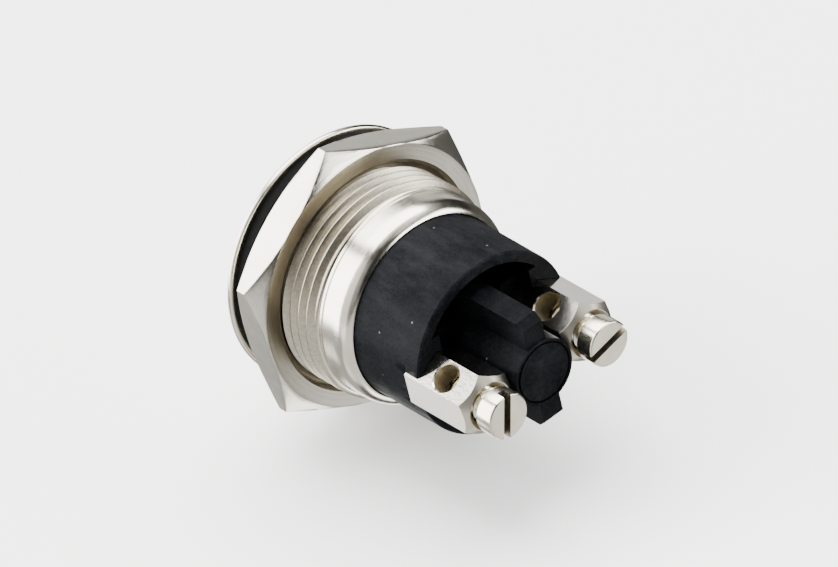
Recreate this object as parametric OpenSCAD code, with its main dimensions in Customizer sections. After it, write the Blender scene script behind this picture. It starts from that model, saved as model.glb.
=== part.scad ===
// Anti-vandal momentary push button, 19 mm panel size, screw terminals at the rear.
// Row frame: Y runs along the switch axis, +Y towards the terminals, +Z up, the two terminals on X.
// The origin is on the axis, in the rear face of the bezel flange, where the panel stack starts.
// Every turned piece is drawn about Z with its height as the row's Y, and ax() lays it along +Y.

/* [Bushing] */
// Outside diameter over the thread crests (M19 x 1)
thread_d = 19; // [18:0.1:24]
// Length of the threaded shank behind the flange
thread_len = 8.5; // [8.5:0.1:20]
// Diameter of the bezel flange
flange_d = 22.3; // [21.8:0.1:30]
// Thickness of the bezel flange
flange_t = 2.0; // [1.8:0.1:4]
// Pitch of the thread, drawn as rings
thread_pitch = 1.0; // [0.75:0.05:1.5]
// Depth of the thread
thread_deep = 0.54; // [0.4:0.01:0.6]
// Wall left between the thread crest and the rear counterbore
seat_wall = 1.05; // [0.9:0.05:1.4]

/* [Panel nut and gasket] */
// Size across the flats of the hexagon nut
nut_af = 23; // [22.2:0.1:30]
// Height of the nut
nut_t = 3.0; // [2:0.1:4]
// Gap between the gasket and the nut as stored
panel_gap = 1.0; // [0.6:0.1:4]
// Turn of the nut about the axis as stored
nut_turn = 25.4; // [0:0.1:60]
// Thickness of the rubber gasket
gasket_t = 1.0; // [0.6:0.1:2]
// Outside diameter of the rubber gasket
gasket_d = 21.2; // [20.4:0.1:21.6]

/* [Button] */
// Full travel of the button
button_travel = 1.8; // [1.2:0.1:2.2]
// Height of the button's edge over the bezel
button_rise = 1.2; // [0.6:0.1:2]
// Height of the dome on the button
button_dome = 0.3; // [0.1:0.05:0.6]
// Width of the bezel lip that keeps the button in
button_lip = 0.8; // [0.6:0.05:1.2]
// Running gap of the button and of the plunger stem
run_gap = 0.07; // [0.03:0.01:0.1]
// Thickness of the O-ring round the button
oring_d = 0.84; // [0.7:0.02:0.9]

/* [Contacts] */
// Gap between the contact tips when the button is out
contact_gap = 1.3; // [1:0.05:1.6]
// Diameter of the silver contact tips
tip_d = 2.4; // [1.6:0.1:2.6]
// Thickness of the moving contact tips
tip_t = 0.5; // [0.3:0.05:0.6]
// Thickness of the contact bridge
bridge_t = 0.6; // [0.4:0.05:0.8]
// Width of the contact bridge
bridge_w = 3.4; // [2.4:0.1:3.8]
// Diameter of the plunger stem
stem_d = 3.2; // [2.8:0.1:3.4]
// Wire of the return spring
return_wire = 0.6; // [0.4:0.05:0.8]
// Wire of the contact spring
contact_wire = 0.4; // [0.3:0.05:0.5]

/* [Rear body] */
// Step from the base flange down to the round body
body_step = 0.35; // [0.25:0.05:0.5]
// Wall of the contact chamber
chamber_wall = 1.05; // [0.9:0.05:1.2]
// Depth of the contact chamber
chamber_deep = 4.6; // [4.4:0.1:6]
// Thickness of the floor between chamber and recess
floor_t = 2.0; // [1.6:0.1:3]
// Depth of the rear recess
recess_deep = 4.3; // [3.4:0.1:6]
// Wall round the rear recess
recess_wall = 0.95; // [0.7:0.05:1.2]
// Diameter of the centre post
post_d = 5.9; // [5:0.05:5.9]
// Height of the centre post over the rim
post_rise = 6.25; // [6.1:0.05:8]
// Thickness of the barrier between the terminals
rib_t = 2.06; // [1.6:0.02:2.6]
// Span of the barrier across the post
rib_span = 10.6; // [8:0.1:12]
// Draft of the round body on the radius
body_draft = 0.05; // [0:0.01:0.1]

/* [Terminals] */
// Size across the flats of the hexagon terminals
term_af = 5.0; // [4.6:0.1:5.2]
// Height of the terminals over the rim
term_rise = 5.8; // [5:0.1:7]
// Depth of the terminal seat under the rim
term_seat = 1.6; // [1:0.1:2.4]
// Diameter of the wire hole
wire_d = 2.45; // [1.6:0.01:2.6]
// Chamfer round the mouth of the wire hole
wire_rim = 0.1; // [0.05:0.01:0.2]
// Height of the wire hole's axis over the rim
wire_rise = 2.4; // [2.2:0.1:3]
// Shank diameter of the terminal screws (M3)
screw_d = 3.0; // [2.6:0.1:3.2]
// Head diameter of the terminal screws
head_d = 4.0; // [3.7:0.1:4.2]
// Head height of the terminal screws
head_h = 1.82; // [1.4:0.02:2.2]
// Gap under the screw heads as stored
head_gap = 0.45; // [0.1:0.05:1]
// Shank length of the terminal screws
screw_len = 3.95; // [3.5:0.05:4.6]
// Width of the screwdriver slots
slot_w = 0.69; // [0.4:0.01:0.8]
// Depth of the screwdriver slots
slot_deep = 0.9; // [0.5:0.05:1.1]
// Turn of the slot in the left screw
slot_turn_left = 104.7; // [0:0.1:180]
// Turn of the slot in the right screw
slot_turn_right = 167.5; // [0:0.1:180]
// Offset of the slot from the centre of the left screw
slot_off_left = 0.16; // [0:0.01:0.2]
// Offset of the slot from the centre of the right screw
slot_off_right = 0.08; // [0:0.01:0.2]

/* [Hidden] */
$fn = 96;
eps = 0.01;
fit_gap = 0.05;
thread_r = thread_d / 2;
seat_r = thread_r - seat_wall;
root_r = thread_r - thread_deep;
thread_first = thread_len - 0.3 - floor((thread_len - 0.9) / thread_pitch) * thread_pitch;
thread_turns = floor((thread_len - 0.9) / thread_pitch);
bore_r = seat_r - 0.6;
lip_bore_r = bore_r - button_lip;
lip_y = -flange_t + 1.2;
groove_r = thread_r - 0.42;
band_r = thread_r - 0.5;
seat_y = thread_len - 0.9;
seal_t = 0.5;
cover_t = 0.8;
base_y = seat_y + seal_t + cover_t;
base_flange_t = 2.0;
base_back_y = base_y + base_flange_t;
roll_end_y = base_back_y + 0.985;
base_r = seat_r - fit_gap;
body_r = base_r - body_step;
rim_r = body_r - body_draft;
chamber_r = body_r - chamber_wall;
floor_y = base_y + chamber_deep;
recess_y = floor_y + floor_t;
rim_y = recess_y + recess_deep;
recess_r = rim_r - recess_wall;
post_y = rim_y + post_rise;
rib_y = post_y - 0.2;

term_x = rim_r - term_af / 2;
term_r = term_af / 2 / cos(30);
term_seat_y = rim_y - term_seat;
term_y = rim_y + term_rise;
wire_y = rim_y + wire_rise;
shank_r = 1.4;
mouth_r = 2.15;
tap_r = screw_d / 2 + fit_gap;
tap_y = wire_y - 1.9;
head_y = term_y + head_gap;
screw_tip_y = head_y - screw_len;

nut_y = gasket_t + panel_gap;
nut_r = nut_af / 2 / cos(30);
nut_bore_r = thread_r + fit_gap;
nut_face_r = nut_af / 2 + 0.04;
nut_sink = 0.63;

button_r = lip_bore_r - 0.1;
skirt_r = bore_r - run_gap;
cap_y = -flange_t - button_rise;
cap_step_y = lip_y + fit_gap;
cap_wall = 1.6;
cavity_y = cap_y + cap_wall;
cavity_r = button_r - 0.75;
skirt_y = cap_y + 7.2;
oring_y = 1.9;
oring_root_r = bore_r - oring_d - 0.06;
disc_r = cavity_r - 0.1;
disc_y = cavity_y + 2.6;
boss_r = 3.0;
boss_y = disc_y + 3.4;
stem_r = stem_d / 2;
stem_bore_r = stem_r + run_gap;
stem_y = floor_y + 1.5;
stem_bore_y = stem_y + button_travel + 0.6;

fixed_tip_t = 0.6;
fixed_y = floor_y - 1.7;
moving_y = fixed_y - contact_gap;
bridge_back_y = moving_y - tip_t;
bridge_front_y = bridge_back_y - bridge_t;
bridge_len = 2 * (chamber_r - 0.4);
clip_t = 0.45;
clip_groove_r = stem_r - 0.4;
clip_r = 2.6;

return_r = 4.6;
return_from = disc_y;
return_to = base_y - cover_t;
contact_r = stem_r + 0.35 + contact_wire / 2;

// Lays a piece drawn about Z along the row's +Y.
module ax() {
    rotate([-90, 0, 0]) children();
}

module tube(r, hole, from, to) {
    translate([0, 0, from]) {
        difference() {
            cylinder(r = r, h = to - from);
            translate([0, 0, -1]) cylinder(r = hole, h = to - from + 2);
        }
    }
}

module disc(r, from, to) {
    translate([0, 0, from]) cylinder(r = r, h = to - from);
}

// One closed spring: a round wire swept along a helix, with closed ends laid flat.
function coil_angle(i, steps, turns) = 360 * turns * i / steps;
function coil_rise(i, steps, turns, len, wire) =
    let (t = turns * i / steps)
    let (u = max(0, min(1, (t - 0.9) / (turns - 1.8))))
    wire / 2 + min(t, 0.9) * wire * 0.6 + max(0, t - turns + 0.9) * wire * 0.6
    + u * (len - wire - 1.08 * wire);
function coil_ring(i, steps, turns, r, len, wire, sides) =
    [for (k = [0:sides - 1])
        let (a = coil_angle(i, steps, turns))
        let (b = 360 * k / sides)
        let (rr = r + wire / 2 * cos(b))
        [rr * cos(a), rr * sin(a), coil_rise(i, steps, turns, len, wire) + wire / 2 * sin(b)]];

module coil(r, len, wire, turns, sides = 6, per_turn = 18) {
    steps = round(turns * per_turn);
    rings = [for (i = [0:steps]) coil_ring(i, steps, turns, r, len, wire, sides)];
    pts = [for (ring = rings) for (p = ring) p];
    side_a = [for (i = [0:steps - 1]) for (k = [0:sides - 1])
        [i * sides + k, (i + 1) * sides + k, i * sides + (k + 1) % sides]];
    side_b = [for (i = [0:steps - 1]) for (k = [0:sides - 1])
        [(i + 1) * sides + k, (i + 1) * sides + (k + 1) % sides, i * sides + (k + 1) % sides]];
    cap_a = [[for (k = [0:sides - 1]) k]];
    cap_b = [[for (k = [0:sides - 1]) steps * sides + sides - 1 - k]];
    polyhedron(points = pts, faces = concat(side_a, side_b, cap_a, cap_b), convexity = 10);
}

// One ring of the thread: flank down, flat root, flank up to the next crest.
function thread_ring(y) = [
    [thread_r, y + thread_pitch * 0.06],
    [root_r, y + thread_pitch * 0.38],
    [root_r, y + thread_pitch * 0.62],
    [thread_r, y + thread_pitch * 0.94]];
thread_points = [for (i = [0:thread_turns - 1]) for (p = thread_ring(thread_first + i * thread_pitch)) p];

// Metal body of the switch: bezel flange, threaded shank and the lip rolled over the base.
module bushing() {
    color([0.78, 0.75, 0.68])
    ax() rotate_extrude() polygon(concat([
        [lip_bore_r, lip_y],
        [lip_bore_r, -flange_t + 0.2],
        [lip_bore_r + 0.2, -flange_t],
        [flange_d / 2 - 1.95, -flange_t],
        [flange_d / 2, -0.42],
        [flange_d / 2, -0.22],
        [flange_d / 2 - 0.1, -0.06],
        [flange_d / 2 - 0.28, 0],
        [thread_r, 0]],
        thread_points, [
        [thread_r, thread_len - 0.3],
        [groove_r, thread_len + 0.1],
        [groove_r, thread_len + 0.42],
        [groove_r - 0.12, thread_len + 0.46],
        [groove_r - 0.12, thread_len + 0.54],
        [band_r, thread_len + 0.58],
        [band_r, thread_len + 1.7],
        [band_r - 0.04, base_back_y - 0.15],
        [band_r - 0.14, base_back_y + 0.2],
        [band_r - 0.32, base_back_y + 0.52],
        [band_r - 0.56, base_back_y + 0.8],
        [band_r - 0.78, roll_end_y - 0.05],
        [body_r + 0.12, roll_end_y],
        [body_r + fit_gap, roll_end_y - 0.06],
        [body_r + fit_gap, base_back_y + 0.55],
        [seat_r, base_back_y + 0.1],
        [seat_r, seat_y],
        [bore_r, seat_y],
        [bore_r, lip_y]]));
}

// Hexagon nut with a chamfer on both faces and a countersunk bore.
module panel_nut() {
    color([0.8, 0.78, 0.73])
    ax() translate([0, 0, nut_y]) rotate([0, 0, -nut_turn]) difference() {
        intersection() {
            cylinder(r = nut_r, h = nut_t, $fn = 6);
            rotate_extrude() polygon([
                [0, 0],
                [nut_face_r - 0.06, 0],
                [nut_face_r + 2.54, 1.5],
                [nut_face_r + 2.54, nut_t - 1.5],
                [nut_face_r, nut_t],
                [0, nut_t]]);
        }
        translate([0, 0, -1]) cylinder(r = nut_bore_r, h = nut_t + 2);
        translate([0, 0, nut_t - 0.5]) cylinder(r1 = nut_bore_r - 0.01, r2 = nut_bore_r + nut_sink, h = 0.5 + eps);
        translate([0, 0, -eps]) cylinder(r1 = nut_bore_r + 0.4, r2 = nut_bore_r - 0.01, h = 0.4);
    }
}

module panel_gasket() {
    color([0.05, 0.05, 0.05])
    ax() tube(gasket_d / 2, thread_r + 0.1, 0, gasket_t);
}

// Button: domed cap with the retaining skirt, the O-ring groove and a hollow back.
module button_cap() {
    color([0.8, 0.79, 0.77])
    ax() rotate_extrude() polygon([
        [0, cap_y - button_dome],
        [button_r * 0.3, cap_y - button_dome * 0.91],
        [button_r * 0.6, cap_y - button_dome * 0.64],
        [button_r * 0.86, cap_y - button_dome * 0.26],
        [button_r - 0.3, cap_y],
        [button_r, cap_y + 0.3],
        [button_r, cap_step_y],
        [skirt_r, cap_step_y],
        [skirt_r, oring_y - 0.7],
        [oring_root_r, oring_y - 0.7],
        [oring_root_r, oring_y + 0.7],
        [skirt_r, oring_y + 0.7],
        [skirt_r, skirt_y],
        [cavity_r, skirt_y],
        [cavity_r, cavity_y],
        [0, cavity_y]]);
}

module cap_oring() {
    color([0.04, 0.04, 0.04])
    ax() translate([0, 0, oring_y]) rotate_extrude()
        translate([bore_r - 0.03 - oring_d / 2, 0]) circle(r = oring_d / 2, $fn = 24);
}

// Plastic plunger: disc in the cap, spring boss, and the stem that carries the contact bridge.
module plunger() {
    color([0.86, 0.85, 0.8])
    ax() rotate_extrude() polygon([
        [0, cavity_y],
        [disc_r, cavity_y],
        [disc_r, disc_y],
        [boss_r, disc_y],
        [boss_r, boss_y],
        [stem_r, boss_y],
        [stem_r, bridge_back_y - 0.02],
        [clip_groove_r, bridge_back_y - 0.02],
        [clip_groove_r, bridge_back_y + clip_t + 0.03],
        [stem_r, bridge_back_y + clip_t + 0.03],
        [stem_r, stem_y - 0.3],
        [stem_r - 0.3, stem_y],
        [0, stem_y]]);
}

module return_spring() {
    color([0.7, 0.7, 0.72])
    ax() translate([0, 0, return_from + 0.02])
        coil(return_r, return_to - return_from - 0.04, return_wire, 5.5);
}

module contact_spring() {
    color([0.72, 0.72, 0.74])
    ax() translate([0, 0, boss_y + 0.02])
        coil(contact_r, bridge_front_y - boss_y - 0.04, contact_wire, 6.5);
}

// Brass bridge that joins the two fixed contacts when the button is pressed.
module contact_bridge() {
    color([0.8, 0.62, 0.3])
    ax() difference() {
        union() {
            intersection() {
                translate([-bridge_len / 2, -bridge_w / 2, bridge_front_y])
                    cube([bridge_len, bridge_w, bridge_t]);
                disc(chamber_r - 0.2, bridge_front_y - 1, bridge_back_y + 1);
            }
            disc(stem_r + 1.5, bridge_front_y, bridge_back_y);
        }
        disc(stem_r + fit_gap, bridge_front_y - 1, bridge_back_y + 1);
    }
}

module bridge_tip_left() {
    color([0.85, 0.85, 0.84])
    ax() translate([term_x, 0, 0]) disc(tip_d / 2, bridge_back_y, moving_y);
}

module bridge_tip_right() {
    color([0.85, 0.85, 0.84])
    ax() translate([-term_x, 0, 0]) disc(tip_d / 2, bridge_back_y, moving_y);
}

// Open spring clip in the stem's groove, behind the bridge.
module bridge_clip() {
    color([0.55, 0.56, 0.58])
    ax() difference() {
        tube(clip_r, clip_groove_r + fit_gap, bridge_back_y, bridge_back_y + clip_t);
        translate([-0.8, 0, bridge_back_y - 1]) cube([1.6, 4, clip_t + 2]);
    }
}

// Insulating disc that closes the contact chamber and seats the return spring.
module chamber_cover() {
    color([0.16, 0.16, 0.17])
    ax() tube(base_r, stem_r + 1.6, base_y - cover_t, base_y);
}

module base_seal() {
    color([0.05, 0.05, 0.05])
    ax() tube(base_r, bore_r + fit_gap, seat_y, seat_y + seal_t);
}

module terminal_place(side) {
    translate([side * term_x, 0, 0]) children();
}

module hexagon(af, from, to) {
    translate([0, 0, from]) rotate([0, 0, 30]) cylinder(r = af / 2 / cos(30), h = to - from, $fn = 6);
}

// Room that the rear recess takes, less the seats of the terminals, the barrier and the post.
module recess_room() {
    difference() {
        disc(recess_r, recess_y, rim_y + 1);
        translate([term_x - term_af / 2 - 0.1, -3.3, recess_y - 1]) cube([9, 6.6, term_seat_y - recess_y + 1]);
        translate([-term_x + term_af / 2 + 0.1 - 9, -3.3, recess_y - 1])
            cube([9, 6.6, term_seat_y - recess_y + 1]);
        translate([term_x - 0.6, -4.2, recess_y - 1]) cube([9, 8.4, recess_deep + 3]);
        translate([-term_x + 0.6 - 9, -4.2, recess_y - 1]) cube([9, 8.4, recess_deep + 3]);
    }
}

// Black moulding: base flange, contact chamber, rear recess, barrier and centre post.
module rear_body() {
    color([0.06, 0.065, 0.07])
    ax() difference() {
        union() {
            difference() {
                rotate_extrude() polygon([
                    [0, base_y],
                    [base_r, base_y],
                    [base_r, base_back_y],
                    [body_r, base_back_y],
                    [rim_r, rim_y - 0.15],
                    [rim_r - 0.12, rim_y],
                    [0, rim_y]]);
                recess_room();
                for (side = [-1, 1]) terminal_place(side) {
                    hexagon(term_af + 0.06, term_seat_y, rim_y + 1);
                    translate([side * 2 - 1, -term_r / 2 - 0.02, term_seat_y])
                        cube([2, term_r + 0.04, rim_y + 1 - term_seat_y]);
                }
            }
            translate([-rib_t / 2, -rib_span / 2, recess_y - 0.5]) cube([rib_t, rib_span, rib_y - recess_y + 0.5]);
            disc(post_d / 2, recess_y - 0.5, post_y);
        }
        disc(chamber_r, base_y - 1, floor_y);
        disc(stem_bore_r, floor_y - 1, stem_bore_y);
        tube(post_d / 2 - 0.22, post_d / 2 - 0.42, post_y - 0.25, post_y + 1);
        for (side = [-1, 1]) terminal_place(side) disc(shank_r + 0.03, floor_y - 1, term_seat_y + 1);
    }
}

// Cross hole for the wire with a small chamfer at both mouths.
module wire_hole() {
    translate([0, 0, -term_af]) cylinder(r = wire_d / 2, h = 2 * term_af);
    for (end = [0, 180]) rotate([end, 0, 0]) translate([0, 0, term_af / 2 - wire_rim])
        cylinder(r1 = wire_d / 2 - 0.01, r2 = wire_d / 2 + wire_rim + 0.01, h = wire_rim + 0.02);
}

// Hexagon terminal bar with its shank, tapped end bore and cross hole for the wire.
module terminal(side) {
    color([0.8, 0.77, 0.7])
    ax() terminal_place(side) difference() {
        union() {
            intersection() {
                hexagon(term_af, term_seat_y, term_y);
                rotate_extrude() polygon([
                    [0, term_seat_y],
                    [term_r + 0.1, term_seat_y],
                    [term_r + 0.1, term_y - 0.78],
                    [mouth_r, term_y],
                    [0, term_y]]);
            }
            disc(shank_r, fixed_y + fixed_tip_t, term_seat_y + 0.2);
        }
        disc(tap_r, tap_y, term_y + 1);
        translate([0, 0, tap_y - 0.7]) cylinder(r1 = 0.2, r2 = tap_r, h = 0.7);
        translate([0, 0, term_y - 0.55]) cylinder(r1 = tap_r - 0.05, r2 = mouth_r - 0.06, h = 0.55 + eps);
        translate([0, 0, wire_y]) rotate([0, 0, -60]) rotate([0, 90, 0])
            wire_hole();
    }
}

module terminal_left() {
    terminal(1);
}

module terminal_right() {
    terminal(-1);
}

module fixed_tip_left() {
    color([0.85, 0.85, 0.84])
    ax() terminal_place(1) disc(tip_d / 2, fixed_y, fixed_y + fixed_tip_t);
}

module fixed_tip_right() {
    color([0.85, 0.85, 0.84])
    ax() terminal_place(-1) disc(tip_d / 2, fixed_y, fixed_y + fixed_tip_t);
}

// Slotted screw with a small round head, backed off the terminal's mouth.
module terminal_screw(side, turn, off) {
    color([0.82, 0.8, 0.74])
    ax() terminal_place(side) difference() {
        union() {
            rotate_extrude() polygon([
                [0, screw_tip_y],
                [screw_d / 2 - 0.25, screw_tip_y],
                [screw_d / 2, screw_tip_y + 0.25],
                [screw_d / 2, head_y],
                [head_d / 2 - 0.1, head_y],
                [head_d / 2, head_y + 0.1],
                [head_d / 2, head_y + head_h - 0.08],
                [head_d / 2 - 0.08, head_y + head_h],
                [0, head_y + head_h]]);
        }
        rotate([0, 0, -turn]) translate([-head_d, off - slot_w / 2, head_y + head_h - slot_deep])
            cube([2 * head_d, slot_w, slot_deep + 1]);
    }
}

module terminal_screw_left() {
    terminal_screw(1, slot_turn_left, slot_off_left);
}

module terminal_screw_right() {
    terminal_screw(-1, slot_turn_right, slot_off_right);
}

bushing();
panel_nut();
panel_gasket();
button_cap();
cap_oring();
plunger();
return_spring();
contact_spring();
contact_bridge();
bridge_tip_left();
bridge_tip_right();
bridge_clip();
chamber_cover();
base_seal();
rear_body();
terminal_left();
terminal_right();
fixed_tip_left();
fixed_tip_right();
terminal_screw_left();
terminal_screw_right();
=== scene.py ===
import math

import bmesh
import bpy
import numpy as np
from mathutils import Matrix, Vector


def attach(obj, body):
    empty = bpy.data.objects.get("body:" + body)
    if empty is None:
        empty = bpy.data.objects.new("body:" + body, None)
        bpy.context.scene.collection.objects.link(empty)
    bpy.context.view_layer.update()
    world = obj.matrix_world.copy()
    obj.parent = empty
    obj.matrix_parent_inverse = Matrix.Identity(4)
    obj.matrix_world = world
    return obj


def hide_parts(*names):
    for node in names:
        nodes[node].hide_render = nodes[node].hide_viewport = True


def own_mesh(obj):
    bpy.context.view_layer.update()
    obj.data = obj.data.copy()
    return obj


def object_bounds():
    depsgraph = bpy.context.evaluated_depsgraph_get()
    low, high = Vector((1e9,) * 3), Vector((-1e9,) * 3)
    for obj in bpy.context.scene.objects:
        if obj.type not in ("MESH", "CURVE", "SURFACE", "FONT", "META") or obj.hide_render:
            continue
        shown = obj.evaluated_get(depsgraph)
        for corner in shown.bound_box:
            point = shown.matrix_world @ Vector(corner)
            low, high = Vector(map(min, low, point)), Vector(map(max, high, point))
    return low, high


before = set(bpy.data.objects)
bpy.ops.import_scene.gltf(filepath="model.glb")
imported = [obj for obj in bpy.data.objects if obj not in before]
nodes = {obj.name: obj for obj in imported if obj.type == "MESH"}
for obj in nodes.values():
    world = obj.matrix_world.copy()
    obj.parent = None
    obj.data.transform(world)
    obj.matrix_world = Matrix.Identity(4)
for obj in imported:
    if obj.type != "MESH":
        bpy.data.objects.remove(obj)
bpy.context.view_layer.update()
MM = 0.001

# ---------------------------------------------------------------- sizes, in mm
THREAD_R = 9.5
PITCH = 1.0
THREAD_PHASE = 0.5
THREAD_END = 8.5
ROOT_R = 8.93
FLANGE_R = 11.15
NUT_AF = 23.0
NUT_T = 3.0
NUT_Y = 2.0
NUT_TURN = 25.4
TERM_X = 5.5
TERM_AF = 5.0
SEAT_Y = 18.2
TERM_Y = 25.6
WIRE_Y = 22.2
HEAD_Y = 26.05
HEAD_H = 1.82
TIP_Y = 22.1
BODY_BACK = 10.9
SLOT_W = 0.69
SLOT_DEEP = 0.9
WIRE_D = 2.45

# ---------------------------------------------------------------- studio
# Patches of light: azimuth from +Y towards +X, height, turn, half width and height as tangents, softness, strength.
PATCHES = [
    (-40, 7, 0, 0.45, 0.20, 0.03, 11.0),
    (-45, 40, 0, 0.42, 0.16, 0.08, 1.3),
    (80, 24, 0, 0.40, 0.80, 0.08, 1.7),
    (42, 24, 0, 0.28, 0.42, 0.08, 0.42),
    (-85, 40, 0, 0.30, 0.25, 0.10, 0.35),
    (-133, 0, 0, 0.12, 0.30, 0.05, 1.0),
    (-33, -39, -38, 0.14, 0.55, 0.04, 1.6),
    (50, -36, 0, 0.72, 0.60, 0.06, 1.25),
    (144, -34, 0, 0.11, 0.10, 0.05, 2.0),
    (138, -40, 0, 0.80, 0.60, 0.08, 0.58),
    (-162, -54, 0, 0.22, 0.25, 0.08, 3.0),
    (8, -74, 0, 0.20, 0.16, 0.06, 6.0),
]
# Large panels bounded by planes through the origin: their inward normals, softness, strength.
PANELS = [
    ([(-1, 0, 0.26), (1, 0, 1.15), (0, -1, 0.30), (0, 1, 1.0)], 0.03, 12.0),
    ([(-1, 0, 0.12), (1, 0, 1.0), (0, -1, 0.78), (0, 1, -0.28)], 0.05, 1.1),
    ([(2.0, 0, -1), (-0.242, -0.970, 0), (1, 0.035, 0), (0.126, -0.155, 1)], 0.03, 11.0),
]
SKY_BASE = 0.015
GROUND = 0.10
RIM_Y = 19.8
# Direction round the nut's ring face, in degrees, where its painted shade is darkest.
RING_DARK = 52.0


# ---------------------------------------------------------------- mesh helpers
def new_object(name, verts, faces, sharp=32.0):
    """A mesh in mm, smooth shaded, with its hard edges marked sharp."""
    mesh = bpy.data.meshes.new(name)
    mesh.from_pydata([tuple(c * MM for c in v) for v in verts], [], faces)
    mesh.validate()
    obj = bpy.data.objects.new(name, mesh)
    bpy.context.collection.objects.link(obj)
    finish_mesh(obj, sharp)
    return obj


def finish_mesh(obj, sharp=32.0, weld=True):
    bm = bmesh.new()
    bm.from_mesh(obj.data)
    if weld:
        bmesh.ops.remove_doubles(bm, verts=bm.verts, dist=1e-7)
    bmesh.ops.recalc_face_normals(bm, faces=bm.faces)
    limit = math.radians(sharp)
    for f in bm.faces:
        f.smooth = True
    for e in bm.edges:
        e.smooth = not (len(e.link_faces) == 2 and e.calc_face_angle(0.0) > limit)
    bm.to_mesh(obj.data)
    bm.free()


def turned(name, profile, seg=144, sharp=32.0, wobble=None):
    """A closed profile of (radius, y) points turned about the Y axis. wobble(point, angle) may move a point."""
    n = len(profile)
    verts, faces = [], []
    for j in range(seg):
        a = 2 * math.pi * j / seg
        for p in profile:
            r, y = wobble(p, a) if wobble else p[:2]
            verts.append((r * math.cos(a), y, r * math.sin(a)))
    for j in range(seg):
        k = (j + 1) % seg
        for i in range(n):
            m = (i + 1) % n
            faces.append((j * n + i, j * n + m, k * n + m, k * n + i))
    return new_object(name, verts, faces, sharp)


def rounded(points, radius=0.08, steps=3):
    """Profile points with each marked corner (r, y, True) rounded by a small arc."""
    out = []
    n = len(points)
    for i, p in enumerate(points):
        if len(p) < 3 or not p[2]:
            out.append((p[0], p[1]))
            continue
        rad = p[3] if len(p) > 3 else radius
        a, b, c = Vector(points[i - 1][:2]), Vector(p[:2]), Vector(points[(i + 1) % n][:2])
        u, w = (a - b), (c - b)
        cut = min(rad, u.length * 0.45, w.length * 0.45)
        s, e = b + u.normalized() * cut, b + w.normalized() * cut
        for k in range(steps + 1):
            t = k / steps
            q = s * (1 - t) ** 2 + b * 2 * t * (1 - t) + e * t ** 2
            out.append((q.x, q.y))
    return out


def boolean(obj, cutter, mode="DIFFERENCE"):
    mod = obj.modifiers.new("cut", "BOOLEAN")
    mod.operation = mode
    mod.solver = "EXACT"
    mod.object = cutter
    bpy.context.view_layer.update()
    deps = bpy.context.evaluated_depsgraph_get()
    mesh = bpy.data.meshes.new_from_object(obj.evaluated_get(deps))
    obj.modifiers.clear()
    obj.data = mesh
    bpy.data.objects.remove(cutter)


def bevel(obj, width, segments=2, angle=35.0):
    mod = obj.modifiers.new("edge", "BEVEL")
    mod.width = width * MM
    mod.segments = segments
    mod.limit_method = "ANGLE"
    mod.angle_limit = math.radians(angle)
    mod.harden_normals = True
    mod.use_clamp_overlap = True
    return mod


# ---------------------------------------------------------------- material helpers
def material(name):
    mat = bpy.data.materials.new(name)
    mat.use_nodes = True
    tree = mat.node_tree
    tree.nodes.clear()
    out = tree.nodes.new("ShaderNodeOutputMaterial")
    bsdf = tree.nodes.new("ShaderNodeBsdfPrincipled")
    tree.links.new(bsdf.outputs[0], out.inputs[0])
    coord = tree.nodes.new("ShaderNodeTexCoord")
    return mat, tree, bsdf, coord.outputs["Object"]


def node(tree, kind, **props):
    n = tree.nodes.new(kind)
    for k, v in props.items():
        setattr(n, k, v)
    return n


def noise(tree, vec, scale, detail=4.0, rough=0.55, stretch=None):
    if stretch:
        m = node(tree, "ShaderNodeMapping")
        m.inputs["Scale"].default_value = stretch
        tree.links.new(vec, m.inputs["Vector"])
        vec = m.outputs[0]
    n = node(tree, "ShaderNodeTexNoise")
    n.inputs["Scale"].default_value = scale
    n.inputs["Detail"].default_value = detail
    n.inputs["Roughness"].default_value = rough
    tree.links.new(vec, n.inputs["Vector"])
    return n.outputs["Fac"]


def ramp(tree, fac, stops):
    r = node(tree, "ShaderNodeValToRGB")
    e = r.color_ramp.elements
    while len(e) < len(stops):
        e.new(0.5)
    for i, (pos, col) in enumerate(stops):
        e[i].position = pos
        e[i].color = (*col, 1) if isinstance(col, tuple) else (col, col, col, 1)
    tree.links.new(fac, r.inputs[0])
    return r.outputs[0]


def math_node(tree, op, a, b=None, clamp=False):
    m = node(tree, "ShaderNodeMath", operation=op, use_clamp=clamp)
    for i, v in enumerate((a, b)):
        if v is None:
            continue
        if isinstance(v, (int, float)):
            m.inputs[i].default_value = v
        else:
            tree.links.new(v, m.inputs[i])
    return m.outputs[0]


def mix_rgb(tree, fac, a, b, blend="MIX"):
    m = node(tree, "ShaderNodeMix", data_type="RGBA", blend_type=blend)
    for i, v in ((0, fac), (6, a), (7, b)):
        if isinstance(v, (int, float)):
            m.inputs[i].default_value = v
        elif isinstance(v, tuple):
            m.inputs[i].default_value = (*v, 1)
        else:
            tree.links.new(v, m.inputs[i])
    return m.outputs[2]


def axis_radius(tree, vec):
    """Distance from the switch axis, in metres."""
    s = node(tree, "ShaderNodeSeparateXYZ")
    tree.links.new(vec, s.inputs[0])
    x2 = math_node(tree, "MULTIPLY", s.outputs[0], s.outputs[0])
    z2 = math_node(tree, "MULTIPLY", s.outputs[2], s.outputs[2])
    return math_node(tree, "SQRT", math_node(tree, "ADD", x2, z2)), s.outputs[1]


def bump(tree, bsdf, height, strength, distance, after=None):
    b = node(tree, "ShaderNodeBump")
    b.inputs["Strength"].default_value = strength
    b.inputs["Distance"].default_value = distance
    tree.links.new(height, b.inputs["Height"])
    if after is not None:
        tree.links.new(after, b.inputs["Normal"])
    tree.links.new(b.outputs[0], bsdf.inputs["Normal"])
    return b.outputs[0]


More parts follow.
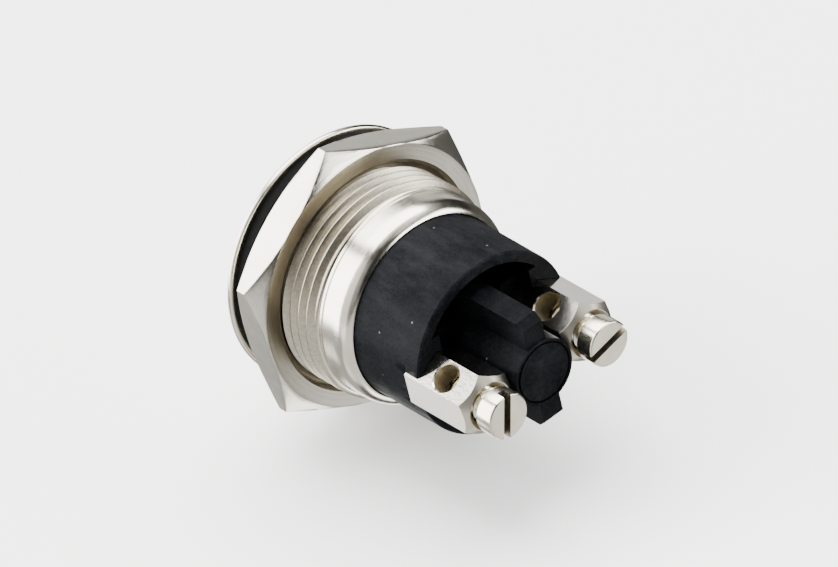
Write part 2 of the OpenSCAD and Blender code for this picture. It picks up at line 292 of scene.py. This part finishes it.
def nickel(name, base=(0.70, 0.665, 0.58), dark=(0.58, 0.54, 0.45), rough=(0.14, 0.26), lines=None, line_strength=0.2, grain=0.05,
           aniso=0.0, thread=None, ring=None):
    """Nickel plate over turned or drawn brass: soft colour drift, fine tool lines and a faint orange peel; a ring face
    can also get painted shade, darker and browner towards one side.
    """
    mat, tree, bsdf, vec = material(name)
    bsdf.inputs["Metallic"].default_value = 1.0
    drift = noise(tree, vec, 260, 5, 0.6)
    fine = noise(tree, vec, 2600, 3, 0.6)
    tree.links.new(ramp(tree, drift, [(0.3, dark), (0.62, base)]), bsdf.inputs["Base Color"])
    tree.links.new(ramp(tree, math_node(tree, "ADD", math_node(tree, "MULTIPLY", drift, 0.6), math_node(tree, "MULTIPLY", fine, 0.4)),
                        [(0.3, rough[0]), (0.7, rough[1])]), bsdf.inputs["Roughness"])
    last = bump(tree, bsdf, fine, grain, 0.00004)
    if thread:
        _, y = axis_radius(tree, vec)
        on = math_node(tree, "MULTIPLY", math_node(tree, "GREATER_THAN", y, thread[0] * MM), math_node(tree, "LESS_THAN", y, thread[1] * MM))
        soft = bsdf.inputs["Roughness"].links[0].from_socket
        sand = noise(tree, vec, 4200, 4, 0.65)
        tree.links.new(math_node(tree, "ADD", soft, math_node(tree, "MULTIPLY", on, 0.13)), bsdf.inputs["Roughness"])
        plate = bsdf.inputs["Base Color"].links[0].from_socket
        dull = mix_rgb(tree, ramp(tree, sand, [(0.35, 0.0), (0.65, 1.0)]), (0.37, 0.33, 0.26), (0.50, 0.465, 0.385))
        tree.links.new(mix_rgb(tree, on, plate, dull), bsdf.inputs["Base Color"])
        last = bump(tree, bsdf, math_node(tree, "MULTIPLY", sand, on), 0.14, 0.00004, last)
    if ring:
        r, y = axis_radius(tree, vec)
        face = math_node(tree, "MULTIPLY", math_node(tree, "LESS_THAN", r, ring[0] * MM), math_node(tree, "GREATER_THAN", y, ring[1] * MM))
        plate = bsdf.inputs["Base Color"].links[0].from_socket
        # Painted shade: the nut's ring face turns darker and browner towards the RING_DARK side, standing in for the
        # reflection pattern of its turning marks.
        way = node(tree, "ShaderNodeVectorMath", operation="DOT_PRODUCT")
        tree.links.new(vec, way.inputs[0])
        way.inputs[1].default_value = (math.cos(math.radians(RING_DARK)) / 0.0105, 0.0, math.sin(math.radians(RING_DARK)) / 0.0105)
        ring_painted_shade = ramp(tree, math_node(tree, "ADD", math_node(tree, "MULTIPLY", way.outputs["Value"], 0.5), 0.5),
                    [(0.42, (0.60, 0.575, 0.50)), (0.80, (0.25, 0.225, 0.17))])
        tree.links.new(mix_rgb(tree, face, plate, ring_painted_shade), bsdf.inputs["Base Color"])
    if lines:
        r, y = axis_radius(tree, vec)
        along = {"radius": r, "length": y}[lines]
        w = math_node(tree, "MULTIPLY", along, 1000.0)
        band = node(tree, "ShaderNodeTexNoise", noise_dimensions="1D")
        band.inputs["Scale"].default_value = 9.0
        band.inputs["Detail"].default_value = 3.0
        tree.links.new(w, band.inputs["W"])
        bump(tree, bsdf, band.outputs["Fac"], line_strength, 0.00003, last)
    if aniso:
        bsdf.inputs["Anisotropic"].default_value = aniso
        bsdf.inputs["Anisotropic Rotation"].default_value = 0.25
        t = node(tree, "ShaderNodeTangent", direction_type="RADIAL", axis="Y")
        tree.links.new(t.outputs[0], bsdf.inputs["Tangent"])
    return mat


def terminal_nickel(name, side):
    """Bright nickel bar whose drilled and countersunk faces are bare brass with tool marks; its chamfer cone is
    painted a darker, browner nickel as painted shade.
    """
    mat = nickel(name, base=(0.80, 0.775, 0.71), dark=(0.68, 0.65, 0.57), rough=(0.08, 0.16), grain=0.09)
    tree = mat.node_tree
    bsdf = next(n for n in tree.nodes if n.type == "BSDF_PRINCIPLED")
    vec = next(n for n in tree.nodes if n.type == "TEX_COORD").outputs["Object"]
    local = node(tree, "ShaderNodeVectorMath", operation="SUBTRACT")
    tree.links.new(vec, local.inputs[0])
    local.inputs[1].default_value = (side * TERM_X * MM, WIRE_Y * MM, 0)
    bar_r, y = axis_radius(tree, local.outputs[0])
    mouth = math_node(tree, "MULTIPLY", math_node(tree, "LESS_THAN", bar_r, 2.10 * MM),
                      math_node(tree, "GREATER_THAN", y, (24.9 - WIRE_Y) * MM))
    cross = node(tree, "ShaderNodeVectorMath", operation="CROSS_PRODUCT")
    tree.links.new(local.outputs[0], cross.inputs[0])
    cross.inputs[1].default_value = (0.5, 0, 0.8660254)
    away = node(tree, "ShaderNodeVectorMath", operation="LENGTH")
    tree.links.new(cross.outputs[0], away.inputs[0])
    hole_r = away.outputs["Value"]
    hole = math_node(tree, "LESS_THAN", hole_r, (WIRE_D / 2 + 0.02) * MM)
    bare = math_node(tree, "MAXIMUM", mouth, hole)
    rings = node(tree, "ShaderNodeTexNoise", noise_dimensions="1D")
    rings.inputs["Scale"].default_value = 26.0
    rings.inputs["Detail"].default_value = 2.0
    tree.links.new(math_node(tree, "MULTIPLY", bar_r, 1000.0), rings.inputs["W"])
    brass = ramp(tree, math_node(tree, "ADD", math_node(tree, "MULTIPLY", rings.outputs["Fac"], 0.6),
                                 math_node(tree, "MULTIPLY", noise(tree, vec, 1400, 4), 0.4)),
                 [(0.35, (0.34, 0.295, 0.19)), (0.65, (0.58, 0.52, 0.37))])
    # Painted shade: the chamfer cone at the bar's end is painted a darker, browner nickel over its whole surface.
    lean = (3.40 - 2.15) / (TERM_Y - 24.44)
    cone = math_node(tree, "GREATER_THAN", math_node(tree, "ADD", bar_r, math_node(tree, "MULTIPLY", y, lean)),
                     (3.37 + (24.44 - WIRE_Y) * lean) * MM)
    plate = mix_rgb(tree, cone, bsdf.inputs["Base Color"].links[0].from_socket, (0.50, 0.47, 0.39))
    tree.links.new(mix_rgb(tree, bare, plate, brass), bsdf.inputs["Base Color"])
    smooth = bsdf.inputs["Roughness"].links[0].from_socket
    rough = math_node(tree, "ADD", math_node(tree, "MULTIPLY", bare, 0.38), smooth)
    rough = math_node(tree, "ADD", rough, math_node(tree, "MULTIPLY", math_node(tree, "SUBTRACT", cone, mouth, clamp=True), 0.20))
    tree.links.new(rough, bsdf.inputs["Roughness"])
    return mat


def slot_floor(name):
    """The milled slot: dull, dark brown plating."""
    mat, tree, bsdf, vec = material(name)
    bsdf.inputs["Metallic"].default_value = 1.0
    n = noise(tree, vec, 2200, 4, 0.6, (1.0, 3.0, 1.0))
    tree.links.new(ramp(tree, n, [(0.3, (0.13, 0.11, 0.08)), (0.7, (0.26, 0.225, 0.17))]), bsdf.inputs["Base Color"])
    tree.links.new(ramp(tree, n, [(0.3, 0.38), (0.7, 0.55)]), bsdf.inputs["Roughness"])
    bump(tree, bsdf, n, 0.2, 0.00004)
    return mat


def bare_brass(name):
    mat, tree, bsdf, vec = material(name)
    bsdf.inputs["Metallic"].default_value = 1.0
    n = noise(tree, vec, 900, 4, 0.6)
    tree.links.new(ramp(tree, n, [(0.3, (0.42, 0.34, 0.18)), (0.7, (0.62, 0.53, 0.32))]), bsdf.inputs["Base Color"])
    tree.links.new(ramp(tree, n, [(0.3, 0.22), (0.7, 0.4)]), bsdf.inputs["Roughness"])
    bump(tree, bsdf, noise(tree, vec, 3000, 2), 0.15, 0.00003)
    return mat


def black_plastic(name):
    """Black moulding: faintly blue, semi-matt, with light scuffs and a few pale specks."""
    mat, tree, bsdf, vec = material(name)
    cloud = noise(tree, vec, 180, 6, 0.6)
    fine = noise(tree, vec, 5200, 3, 0.6)
    scuff = noise(tree, vec, 700, 6, 0.7, (1.0, 0.35, 1.4))
    grain = math_node(tree, "ADD", math_node(tree, "MULTIPLY", cloud, 0.45), math_node(tree, "MULTIPLY", fine, 0.55))
    base = ramp(tree, grain, [(0.36, (0.0008, 0.0009, 0.0012)), (0.62, (0.0046, 0.0051, 0.0062))])
    haze = noise(tree, vec, 95, 5, 0.65)
    rubbed = math_node(tree, "MULTIPLY", ramp(tree, scuff, [(0.42, 0.0), (0.70, 1.0)]), ramp(tree, haze, [(0.42, 0.0), (0.66, 1.0)]))
    scuffed = mix_rgb(tree, rubbed, base, (0.0125, 0.0135, 0.0158))
    specks = node(tree, "ShaderNodeTexVoronoi", feature="F1")
    specks.inputs["Scale"].default_value = 620
    tree.links.new(vec, specks.inputs["Vector"])
    dots = ramp(tree, specks.outputs["Distance"], [(0.045, 1.0), (0.075, 0.0)])
    few = ramp(tree, noise(tree, vec, 330, 2), [(0.53, 0.0), (0.59, 1.0)])
    tree.links.new(mix_rgb(tree, math_node(tree, "MULTIPLY", dots, few), scuffed, (0.10, 0.10, 0.105)), bsdf.inputs["Base Color"])
    tree.links.new(ramp(tree, scuff, [(0.35, 0.36), (0.7, 0.56)]), bsdf.inputs["Roughness"])
    bsdf.inputs["Specular IOR Level"].default_value = 0.024
    last = bump(tree, bsdf, fine, 0.42, 0.00006)
    bump(tree, bsdf, scuff, 0.12, 0.00006, last)
    return mat


def rubber(name):
    mat, tree, bsdf, vec = material(name)
    n = noise(tree, vec, 1500, 4)
    tree.links.new(ramp(tree, n, [(0.3, (0.0012, 0.0012, 0.0012)), (0.7, (0.0025, 0.0025, 0.0025))]), bsdf.inputs["Base Color"])
    bsdf.inputs["Specular IOR Level"].default_value = 0.05
    tree.links.new(ramp(tree, n, [(0.3, 0.55), (0.7, 0.75)]), bsdf.inputs["Roughness"])
    bump(tree, bsdf, noise(tree, vec, 4000, 3), 0.25, 0.00006)
    return mat


def plain_plastic(name, low, high, rough):
    mat, tree, bsdf, vec = material(name)
    n = noise(tree, vec, 700, 4)
    tree.links.new(ramp(tree, n, [(0.3, low), (0.7, high)]), bsdf.inputs["Base Color"])
    tree.links.new(ramp(tree, n, [(0.3, rough - 0.06), (0.7, rough + 0.06)]), bsdf.inputs["Roughness"])
    bump(tree, bsdf, noise(tree, vec, 3500, 3), 0.15, 0.00005)
    return mat


def wire_steel(name):
    mat, tree, bsdf, vec = material(name)
    bsdf.inputs["Metallic"].default_value = 1.0
    n = noise(tree, vec, 1200, 4)
    tree.links.new(ramp(tree, n, [(0.3, (0.42, 0.42, 0.43)), (0.7, (0.62, 0.62, 0.63))]), bsdf.inputs["Base Color"])
    tree.links.new(ramp(tree, n, [(0.3, 0.22), (0.7, 0.36)]), bsdf.inputs["Roughness"])
    return mat


M_BODY = nickel("nickel_body", rough=(0.15, 0.25), lines="length", line_strength=0.22, grain=0.10, thread=(0.3, 8.62))
# The nut's rear ring face (ring=...) carries painted shade, darker towards one side.
M_NUT = nickel("nickel_nut", base=(0.66, 0.635, 0.56), dark=(0.56, 0.53, 0.45), rough=(0.20, 0.28), lines="radius",
               line_strength=0.35, aniso=0.7, ring=(11.5, 4.2))
M_TERM_L = terminal_nickel("nickel_terminal_left", 1)
M_TERM_R = terminal_nickel("nickel_terminal_right", -1)
M_SLOT = slot_floor("nickel_slot")
M_SCREW = nickel("nickel_screw", base=(0.74, 0.695, 0.575), dark=(0.60, 0.565, 0.46), rough=(0.12, 0.28), grain=0.14)
M_STEEL = nickel("steel_button", base=(0.68, 0.67, 0.65), dark=(0.58, 0.57, 0.55), rough=(0.26, 0.33), lines="radius", line_strength=0.22, grain=0.012,
                 aniso=0.5)
M_BRASS = bare_brass("bare_brass")
M_SILVER = nickel("silver_tips", base=(0.82, 0.82, 0.80), dark=(0.66, 0.66, 0.64), rough=(0.25, 0.4))
M_BLACK = black_plastic("black_plastic")
M_RUBBER = rubber("rubber")
M_WHITE = plain_plastic("white_plastic", (0.70, 0.69, 0.63), (0.80, 0.79, 0.74), 0.5)
M_DARK = plain_plastic("dark_plastic", (0.03, 0.03, 0.032), (0.055, 0.055, 0.06), 0.55)
M_WIRE = wire_steel("spring_steel")


def dress(obj, *mats):
    obj.data.materials.clear()
    for m in mats:
        obj.data.materials.append(m)


def paint_node(name, mat):
    for s in nodes[name].material_slots:
        s.material = mat


# ---------------------------------------------------------------- thread shape
# One pitch of a 60 degree thread: (share of the pitch, share of the depth), from crest to crest.
THREAD_FORM = [(0.0, 0.0), (0.05, 0.02), (0.07, 0.06), (0.36, 0.94), (0.40, 1.0), (0.60, 1.0), (0.64, 0.94), (0.93, 0.06), (0.95, 0.02)]


def thread_skin(crest_r, root_r, pitch, start, stop, phase, seg, top):
    """Rings of a right-hand helical thread between two heights; top(y) caps the radius near the ends."""
    form = THREAD_FORM
    first = math.floor((start - phase) / pitch) - 2
    count = math.ceil((stop - start) / pitch) + 4

    def radius(y, a):
        t = ((y - phase) / pitch - a / (2 * math.pi)) % 1.0
        pts = form + [(1.0, 0.0)]
        for (t0, d0), (t1, d1) in zip(pts, pts[1:]):
            if t0 <= t <= t1:
                return crest_r - (crest_r - root_r) * (d0 + (d1 - d0) * (t - t0) / (t1 - t0))
        return crest_r

    rings = []
    for j in range(seg):
        a = 2 * math.pi * j / seg
        line = []
        for i in range(first, first + count):
            for t, d in form:
                y = phase + (i + t + a / (2 * math.pi)) * pitch
                inside = start <= y <= stop
                y = min(max(y, start), stop)
                r = crest_r - (crest_r - root_r) * d if inside else radius(y, a)
                line.append((min(r, top(y)), y))
        rings.append(line)
    return rings


def threaded(name, before, skin, after, seg, sharp=25.0):
    """A turned piece: plain profile, then the thread skin, then plain profile, closed on itself."""
    shift = len(THREAD_FORM)
    verts, faces, index = [], [], []
    for j in range(seg):
        a = 2 * math.pi * j / seg
        ids = []
        for r, y in before + skin[j] + after:
            ids.append(len(verts))
            verts.append((r * math.cos(a), y, r * math.sin(a)))
        index.append(ids)
    nb, ns = len(before), len(skin[0])
    for j in range(seg):
        k = (j + 1) % seg
        this, other = index[j], index[k]
        if k == 0:
            turn = other[:nb] + [other[nb]] * 0 + other[nb + shift:nb + ns] + [other[nb + ns - 1]] * shift + other[nb + ns:]
            # the last turn of the helix meets the first one a pitch further on
            other = turn
        n = len(this)
        for i in range(n):
            m = (i + 1) % n
            q = [this[i], this[m], other[m], other[i]]
            ring = [q[0]]
            for v in q[1:]:
                if v != ring[-1]:
                    ring.append(v)
            if len(ring) > 2 and ring[0] != ring[-1]:
                faces.append(tuple(ring))
    return new_object(name, verts, faces, sharp)


# ---------------------------------------------------------------- bushing with a real M19 x 1 thread
def make_bushing():
    seg = 240
    front = rounded([
        (7.05, -0.8), (7.05, -1.8, True, 0.05), (7.25, -2.0, True, 0.08), (9.2, -2.0, True, 0.25), (11.15, -0.42, True, 0.08),
        (11.15, -0.22, True, 0.08), (11.05, -0.06, True, 0.08), (10.87, 0.0, True, 0.06), (10.5, 0.0), (9.08, 0.0)])
    tail = rounded([
        (9.06, 8.66), (9.06, 8.93), (8.96, 8.96), (8.96, 9.04), (9.0, 9.08), (9.0, 10.2), (8.985, 10.75), (8.93, 11.0), (8.85, 11.2),
        (8.74, 11.4), (8.58, 11.6), (8.4, 11.76), (8.22, 11.86), (8.15, 11.885), (8.10, 11.83), (8.10, 11.45), (8.45, 11.0), (8.45, 7.6),
        (7.85, 7.6), (7.85, -0.8)])

    def top(y):
        return min(9.5, 9.5 - (y - 8.3) * 1.05, 9.08 + max(0.0, y - 0.3) * 1.6)

    skin = thread_skin(THREAD_R, ROOT_R, PITCH, 0.3, 8.62, THREAD_PHASE, seg, top)
    obj = threaded("bushing_turned", front, skin, tail, seg)
    dress(obj, M_BODY)
    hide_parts("bushing")
    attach(obj, "housing")
    return obj


# ---------------------------------------------------------------- hexagon nut
def make_nut():
    seg = 240
    turn = math.radians(NUT_TURN)
    step = math.pi / 3

    def hex_r(a, inset=0.0):
        d = (a - turn) % step
        return (NUT_AF / 2 - inset) / math.cos(d - step / 2)

    back, face_r, slope = NUT_Y + NUT_T, 11.54, math.tan(math.radians(30))
    rings = []

    def ring(fn):
        rings.append([fn(2 * math.pi * (j + 0.0) / seg + turn) for j in range(seg)])

    bore = 9.06
    for r, y in [(bore, NUT_Y + 0.75), (9.55, NUT_Y + 0.3), (9.95, NUT_Y), (10.6, NUT_Y)]:
        ring(lambda a, r=r, y=y: (r, y))
    ring(lambda a: (11.40, NUT_Y))
    ring(lambda a: (11.48, NUT_Y + 0.02))
    for t in (0.33, 0.66, 0.94):
        ring(lambda a, t=t: (11.48 + (hex_r(a) - 11.48) * t, NUT_Y + (hex_r(a) - 11.46) * t * slope))
    front_edge = lambda a: NUT_Y + (hex_r(a) - 11.46) * slope
    back_edge = lambda a: back - (hex_r(a) - face_r) * slope
    ring(lambda a: (hex_r(a), front_edge(a) + 0.07))
    for t in (0.25, 0.5, 0.75):
        ring(lambda a, t=t: (hex_r(a), (front_edge(a) + 0.07) * (1 - t) + (back_edge(a) - 0.05) * t))
    ring(lambda a: (hex_r(a), back_edge(a) - 0.05))
    ring(lambda a: (hex_r(a, 0.02), back_edge(a) + 0.0))
    for t in (0.94, 0.66, 0.33):
        ring(lambda a, t=t: (face_r + (hex_r(a) - face_r) * t, back - (hex_r(a) - face_r) * t * slope))
    ring(lambda a: (face_r + 0.03, back - 0.012))
    ring(lambda a: (face_r - 0.05, back))
    for r, y in [(11.0, back), (10.5, back), (10.2, back), (10.14, back - 0.03), (9.62, back - 0.5), (9.5, back - 0.62), (bore, back - 1.0)]:
        ring(lambda a, r=r, y=y: (r, y))
    verts, faces = [], []
    for rg in rings:
        for j, (r, y) in enumerate(rg):
            a = 2 * math.pi * j / seg + turn
            verts.append((r * math.cos(a), y, r * math.sin(a)))
    n = len(rings)
    for i in range(n):
        m = (i + 1) % n
        for j in range(seg):
            k = (j + 1) % seg
            faces.append((i * seg + j, i * seg + k, m * seg + k, m * seg + j))
    obj = new_object("nut_hexagon", verts, faces, sharp=24)
    dress(obj, M_NUT)
    bevel(obj, 0.06, 2, 50)
    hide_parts("panel_nut")
    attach(obj, "nut")
    return obj


# ---------------------------------------------------------------- screws with a real M3 thread
def make_screw(name, side, turn, off, body, cad):
    head = turned(name + "_head", rounded([
        (0.0001, TIP_Y + 2.0), (0.9, TIP_Y + 2.0), (0.9, HEAD_Y + 0.02), (1.88, HEAD_Y, True, 0.06), (2.0, HEAD_Y + 0.12, True, 0.08),
        (2.0, HEAD_Y + HEAD_H - 0.10, True, 0.06), (1.92, HEAD_Y + HEAD_H, True, 0.06), (0.0001, HEAD_Y + HEAD_H)]), seg=96)
    bm = bmesh.new()
    bmesh.ops.create_cube(bm, size=1.0)
    for v in bm.verts:
        v.co = Vector((v.co.x * 6, v.co.y * 1.8, v.co.z * SLOT_W - off)) * MM
    a = math.radians(turn)
    rot = Matrix.Rotation(-a, 4, "Y")
    bm.transform(Matrix.Translation(Vector((0, HEAD_Y + HEAD_H, 0)) * MM) @ rot)
    mesh = bpy.data.meshes.new("slot_tool")
    bm.to_mesh(mesh)
    bm.free()
    tool = bpy.data.objects.new("slot_tool", mesh)
    bpy.context.collection.objects.link(tool)
    boolean(head, tool)
    finish_mesh(head, 30)
    along = rot.inverted()
    slot_faces = []
    for f in head.data.polygons:
        c = along @ f.center
        n = along @ f.normal
        depth = HEAD_Y + HEAD_H - c.y / MM
        side_wall = abs(n.z) > 0.98 and abs(abs(c.z / MM + off) - SLOT_W / 2) < 0.02 and 0 < depth < SLOT_DEEP
        if side_wall or (abs(n.y) > 0.9 and abs(depth - SLOT_DEEP) < 0.01):
            slot_faces.append(f.index)
    seg = 72
    skin = thread_skin(1.5, 1.2, 0.5, TIP_Y + 0.02, HEAD_Y + 0.03, TIP_Y + 0.1, seg, lambda h: 1.22 + max(0.0, h - TIP_Y) * 1.0)
    shank = threaded(name + "_shank", [(0.0001, TIP_Y), (1.15, TIP_Y)], skin, [(0.0001, HEAD_Y + 0.04)], seg)
    for o in (head, shank):
        o.data.transform(Matrix.Translation((side * TERM_X * MM, 0, 0)))
        dress(o, M_SCREW, M_SLOT) if o is head else dress(o, M_SCREW)
        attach(o, body)
        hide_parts(cad)
    for i in slot_faces:
        head.data.polygons[i].material_index = 1
    bevel(head, 0.04, 2, 40)
    return head, shank


# ---------------------------------------------------------------- springs
def make_spring(name, cad, body, r, start, end, wire, turns):
    pts = []
    per = 40
    total = int(turns * per)
    for i in range(total + 1):
        t = i / per
        u = min(1.0, max(0.0, (t - 0.9) / (turns - 1.8)))
        y = start + wire / 2 + min(t, 0.9) * wire * 0.6 + max(0.0, t - turns + 0.9) * wire * 0.6 + u * (end - start - wire - 1.08 * wire)
        a = 2 * math.pi * t
        pts.append((r * math.cos(a), y, r * math.sin(a)))
    verts, faces, sides = [], [], 12
    for i, p in enumerate(pts):
        a = 2 * math.pi * i / per
        rad = Vector((math.cos(a), 0, math.sin(a)))
        for k in range(sides):
            b = 2 * math.pi * k / sides
            v = Vector(p) + rad * (wire / 2 * math.cos(b)) + Vector((0, wire / 2 * math.sin(b), 0))
            verts.append(tuple(v))
    for i in range(total):
        for k in range(sides):
            m = (k + 1) % sides
            faces.append((i * sides + k, i * sides + m, (i + 1) * sides + m, (i + 1) * sides + k))
    faces.append(tuple(range(sides)))
    faces.append(tuple(total * sides + k for k in range(sides - 1, -1, -1)))
    obj = new_object(name, verts, faces, sharp=50)
    dress(obj, M_WIRE)
    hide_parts(cad)
    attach(obj, body)
    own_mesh(obj)
    return obj


# ---------------------------------------------------------------- hexagon terminals, drilled and tapped
def rod(name, r0, r1, start, end, axis, seg=64):
    """A plain round cutting tool between two distances along an axis through the origin."""
    axis = Vector(axis).normalized()
    u = axis.orthogonal().normalized()
    v = axis.cross(u)
    verts = [tuple(axis * h + (u * math.cos(2 * math.pi * k / seg) + v * math.sin(2 * math.pi * k / seg)) * r)
             for h, r in ((start, r0), (end, r1)) for k in range(seg)]
    faces = [tuple(range(seg - 1, -1, -1)), tuple(range(seg, 2 * seg))]
    faces += [(k, (k + 1) % seg, seg + (k + 1) % seg, seg + k) for k in range(seg)]
    return new_object(name, verts, faces)


def shifted(obj, x, y, z):
    obj.data.transform(Matrix.Translation(Vector((x, y, z)) * MM))
    return obj


def make_terminal(name, side, mat, cad):
    r = TERM_AF / 2 / math.cos(math.pi / 6)
    ring = [(r * math.cos(math.radians(30 + 60 * k)), r * math.sin(math.radians(30 + 60 * k))) for k in range(6)]
    verts = [(x, y, z) for y in (SEAT_Y, TERM_Y) for x, z in ring]
    faces = [tuple(range(6)), tuple(range(11, 5, -1))] + [(k, k + 6, (k + 1) % 6 + 6, (k + 1) % 6) for k in range(6)]
    bar = new_object(name, verts, faces, 20)
    form = turned("bar_form", [(0.0001, SEAT_Y - 0.5), (3.4, SEAT_Y - 0.5), (3.4, 24.44), (2.15, TERM_Y), (0.0001, TERM_Y)], seg=128)
    boolean(bar, form, "INTERSECT")
    tap = turned("tap_tool", [(0.0001, 20.75), (1.55, 21.55), (1.55, 24.98), (1.60, 25.05), (2.09, TERM_Y + 0.005), (2.09, 26.2), (0.0001, 26.2)],
                 seg=96)
    boolean(bar, tap)
    across = (0.5, 0.0, 0.8660254)
    boolean(bar, shifted(rod("wire_tool", WIRE_D / 2, WIRE_D / 2, -4, 4, across), 0, WIRE_Y, 0))
    for end in (1, -1):
        axis = Vector(across) * end
        boolean(bar, shifted(rod("rim_tool", WIRE_D / 2 - 0.01, WIRE_D / 2 + 0.12, 2.5 - 0.11, 2.5 + 0.02, axis), 0, WIRE_Y, 0))
    finish_mesh(bar, 20)
    shank = turned(name + "_shank", rounded([(0.0001, 12.4), (1.4, 12.4, True), (1.4, SEAT_Y + 0.2), (0.0001, SEAT_Y + 0.2)]), seg=64)
    for o in (bar, shank):
        o.data.transform(Matrix.Translation((side * TERM_X * MM, 0, 0)))
        dress(o, mat)
        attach(o, "housing")
        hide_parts(cad)
    bevel(bar, 0.07, 2, 25)


# ---------------------------------------------------------------- rear moulding with its blunted barrier ends
def make_rear():
    obj = bpy.data.objects.new("rear_moulding", nodes["rear_body"].data.copy())
    bpy.context.collection.objects.link(obj)
    for end in (1, -1):
        z0, z1, y0, y1 = end * 4.70, end * 5.45, 25.00, 25.87
        tri = [(z0, y1 + 0.03), (z1, y1 + 0.03), (z1, y0 - 0.02)]
        verts = [(x, y, z) for x in (-1.5, 1.5) for z, y in tri]
        wedge = new_object("blunt_tool", verts, [(0, 1, 2), (5, 4, 3), (0, 3, 4, 1), (1, 4, 5, 2), (2, 5, 3, 0)])
        boolean(obj, wedge)
    finish_mesh(obj, 30)
    dress(obj, M_BLACK)
    bevel(obj, 0.10, 3, 35)
    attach(obj, "housing")
    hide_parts("rear_body")


make_bushing()
make_nut()
make_terminal("terminal_bar_left", 1, M_TERM_L, "terminal_left")
make_terminal("terminal_bar_right", -1, M_TERM_R, "terminal_right")
make_rear()
make_screw("screw_left", 1, 104.7, 0.16, "screw_left", "terminal_screw_left")
make_screw("screw_right", -1, 167.5, 0.08, "screw_right", "terminal_screw_right")
make_spring("return_coil", "return_spring", "housing", 4.6, 1.02, 8.08, 0.6, 5.5)
make_spring("contact_coil", "contact_spring", "button", 2.15, 4.42, 9.38, 0.4, 6.5)

# ---------------------------------------------------------------- looks of the solids that stay
for n, m in {
    "panel_gasket": M_RUBBER, "button_cap": M_STEEL, "cap_oring": M_RUBBER, "plunger": M_WHITE, "contact_bridge": M_BRASS,
    "bridge_tip_left": M_SILVER, "bridge_tip_right": M_SILVER, "bridge_clip": M_WIRE, "chamber_cover": M_DARK, "base_seal": M_RUBBER,
    "fixed_tip_left": M_SILVER, "fixed_tip_right": M_SILVER,
}.items():
    paint_node(n, m)
bevel(nodes["panel_gasket"], 0.12, 2, 40)
bevel(nodes["button_cap"], 0.06, 2, 40)

# ---------------------------------------------------------------- floor, light, camera
lo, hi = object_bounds()
bm = bmesh.new()
bmesh.ops.create_grid(bm, x_segments=2, y_segments=2, size=3.0)
mesh = bpy.data.meshes.new("floor")
bm.to_mesh(mesh)
bm.free()
floor = bpy.data.objects.new("floor", mesh)
floor.location = (0, 0, lo.z - 0.0002)
bpy.context.collection.objects.link(floor)
mat, tree, bsdf, vec = material("floor")
bsdf.inputs["Base Color"].default_value = (0.9, 0.9, 0.9, 1)
bsdf.inputs["Roughness"].default_value = 0.9
floor.data.materials.append(mat)
floor.visible_glossy = False

world = bpy.data.worlds.new("studio")
bpy.context.scene.world = world
world.use_nodes = True
wt = world.node_tree
back = wt.nodes["Background"]


def dot(tree, vec, axis):
    n = node(tree, "ShaderNodeVectorMath", operation="DOT_PRODUCT")
    tree.links.new(vec, n.inputs[0])
    n.inputs[1].default_value = tuple(axis)
    return n.outputs["Value"]


def fade(tree, value, half, soft):
    n = node(tree, "ShaderNodeMapRange", interpolation_type="SMOOTHSTEP")
    n.inputs["From Min"].default_value = half - soft
    n.inputs["From Max"].default_value = half + soft
    n.inputs["To Min"].default_value = 1.0
    n.inputs["To Max"].default_value = 0.0
    tree.links.new(value, n.inputs["Value"])
    return n.outputs["Result"]


def panel(tree, vec, normals, soft, strength):
    """Light inside the planes given by their inward normals, with soft edges."""
    m = None
    for n in normals:
        inside = math_node(tree, "SUBTRACT", 1.0, fade(tree, dot(tree, vec, Vector(n).normalized()), 0.0, soft))
        m = inside if m is None else math_node(tree, "MULTIPLY", m, inside)
    return math_node(tree, "MULTIPLY", m, strength)


def patch(tree, vec, az, el, turn, half_w, half_h, soft, strength):
    """A soft-edged rectangle of light round one direction."""
    a, e, t = (math.radians(k) for k in (az, el, turn))
    f = Vector((math.sin(a) * math.cos(e), math.cos(a) * math.cos(e), math.sin(e)))
    side = Vector((math.cos(a), -math.sin(a), 0))
    up = side.cross(f)
    u = side * math.cos(t) + up * math.sin(t)
    v = up * math.cos(t) - side * math.sin(t)
    return panel(tree, vec, [f * half_w - u, f * half_w + u, f * half_h - v, f * half_h + v], soft, strength)


sky = node(wt, "ShaderNodeTexCoord").outputs["Generated"]
total = math_node(wt, "ADD", math_node(wt, "MULTIPLY", fade(wt, dot(wt, sky, (0, 0, 1)), -0.06, 0.06), GROUND), SKY_BASE)
for args in PATCHES:
    total = math_node(wt, "ADD", total, patch(wt, sky, *args))
for args in PANELS:
    total = math_node(wt, "ADD", total, panel(wt, sky, *args))
back.inputs[0].default_value = (1.0, 0.995, 0.985, 1)
wt.links.new(total, back.inputs[1])


def area(name, place, aim, size, power, color=(1, 1, 1)):
    light = bpy.data.lights.new(name, "AREA")
    light.shape = "RECTANGLE"
    light.size, light.size_y = size
    light.energy = power
    light.color = color
    o = bpy.data.objects.new(name, light)
    o.location = place
    o.rotation_mode = "QUATERNION"
    o.rotation_quaternion = (Vector(aim) - Vector(place)).to_track_quat("-Z", "Y")
    bpy.context.collection.objects.link(o)
    return o


key = area("key", (0.35, -0.45, 0.75), (0, 0.01, 0), (0.5, 0.5), 3.0)
key.visible_glossy = False

V = Vector((0.42491256, 0.66768731, 0.61126342))
R = Vector((-0.73753202, 0.64687633, -0.19390085))
U = Vector((-0.52487697, -0.36843544, 0.76730665))
cam = bpy.data.objects.new("camera", bpy.data.cameras.new("camera"))
bpy.context.collection.objects.link(cam)
cam.data.sensor_width = 36.0
cam.data.lens = 483.34
cam.data.clip_start, cam.data.clip_end = 0.05, 10.0
place = Vector((387.243, 619.613, 559.166)) * MM
cam.matrix_world = Matrix(((R.x, U.x, V.x, place.x), (R.y, U.y, V.y, place.y), (R.z, U.z, V.z, place.z), (0, 0, 0, 1)))
bpy.context.scene.camera = cam
